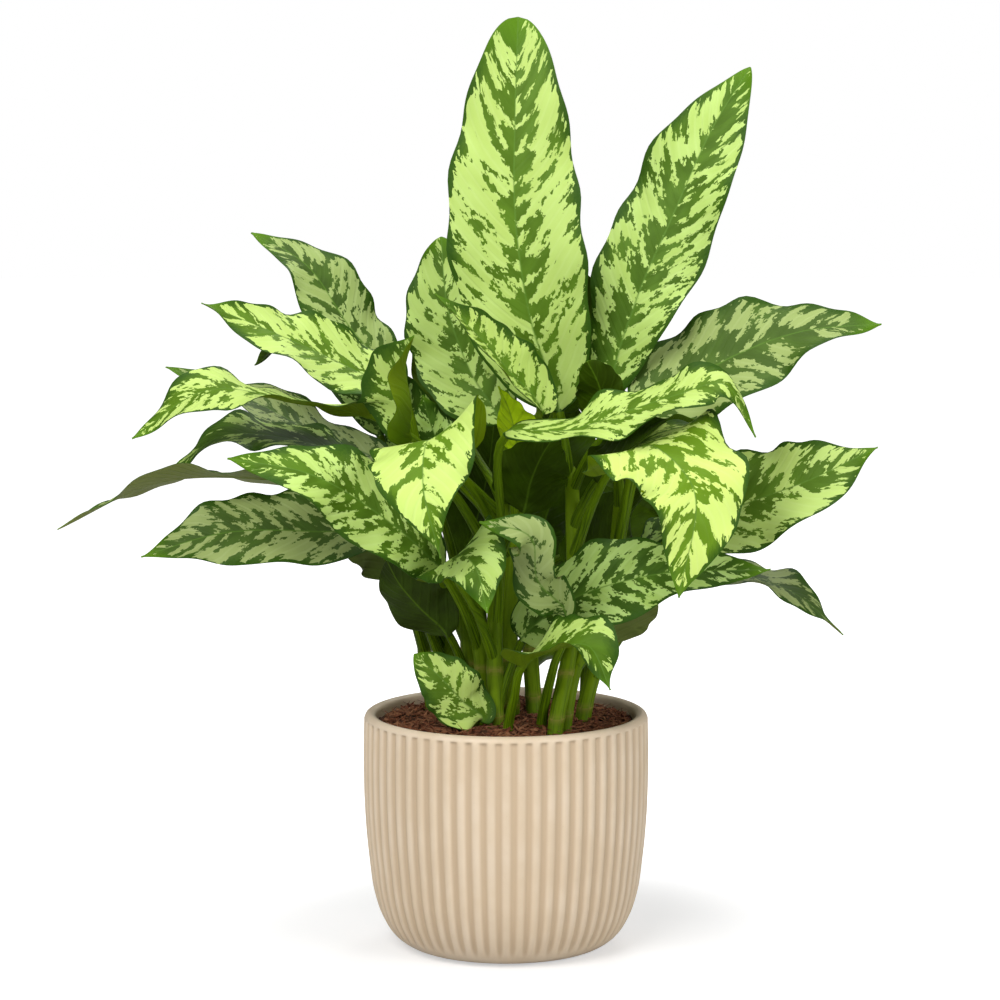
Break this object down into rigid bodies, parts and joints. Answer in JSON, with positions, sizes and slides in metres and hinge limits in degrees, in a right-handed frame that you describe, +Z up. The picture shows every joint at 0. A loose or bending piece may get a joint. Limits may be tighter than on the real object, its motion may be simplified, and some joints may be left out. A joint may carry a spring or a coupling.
{
  "type": "potted chinese evergreen",
  "caption": "House plant with broad, waved, variegated leaves on upright canes, standing in soil in a ribbed glazed pot with a flat base.",
  "frame": {"origin": "centre of the pot's flat base, on the surface that it stands on", "axes": "+Z up along the pot's axis, -Y the front that the picture shows, +X to the right of that view"},
  "size_m": [0.5413, 0.3263, 0.6181],
  "materials": {
    "pot": "satin",
    "soil": "matte",
    "cane": "satin",
    "leaf": "satin"
  },
  "bodies": {
    "root": {"pot": "pot", "cane_centre": "cane", "cane_right": "cane", "cane_far_right": "cane", "cane_left": "cane", "cane_far_left": "cane", "cane_back": "cane", "cane_back_left": "cane", "cane_back_right": "cane", "cane_inner": "cane", "cane_left_inner": "cane", "cane_stub": "cane", "leaf_crown": "leaf", "leaf_right_upright": "leaf", "leaf_left_upright": "leaf", "leaf_young": "leaf", "leaf_upper_left_far": "leaf", "leaf_upper_left": "leaf", "leaf_left_arch": "leaf", "leaf_left_pale": "leaf", "leaf_left_back": "leaf", "leaf_left_shade": "leaf", "leaf_left_edge_on": "leaf", "leaf_left_low": "leaf", "leaf_front_left": "leaf", "leaf_front_drooping": "leaf", "leaf_left_folded": "leaf", "leaf_right_wavy": "leaf", "leaf_right_broad": "leaf", "leaf_right_mid": "leaf", "leaf_right_drooping": "leaf", "leaf_right_low": "leaf", "leaf_right_tip": "leaf", "leaf_twisted": "leaf", "leaf_small_front": "leaf", "leaf_offshoot_right": "leaf", "leaf_offshoot_left": "leaf", "leaf_low_underside": "leaf", "leaf_low_left": "leaf", "leaf_right_underside": "leaf", "leaf_centre_underside": "leaf", "leaf_back_crown": "leaf", "leaf_back_right_high": "leaf", "leaf_back_right_mid": "leaf", "leaf_back_right_low": "leaf", "leaf_back_low": "leaf", "leaf_back_arch": "leaf", "leaf_back_left_high": "leaf", "leaf_inner_left": "leaf", "leaf_back_hanging": "leaf", "leaf_back_left_low": "leaf", "leaf_back_left_mid": "leaf", "leaf_back_upright": "leaf", "leaf_unrolling": "leaf", "leaf_curled": "leaf", "leaf_front_underside": "leaf", "soil": "soil"}
  },
  "joints": []
}
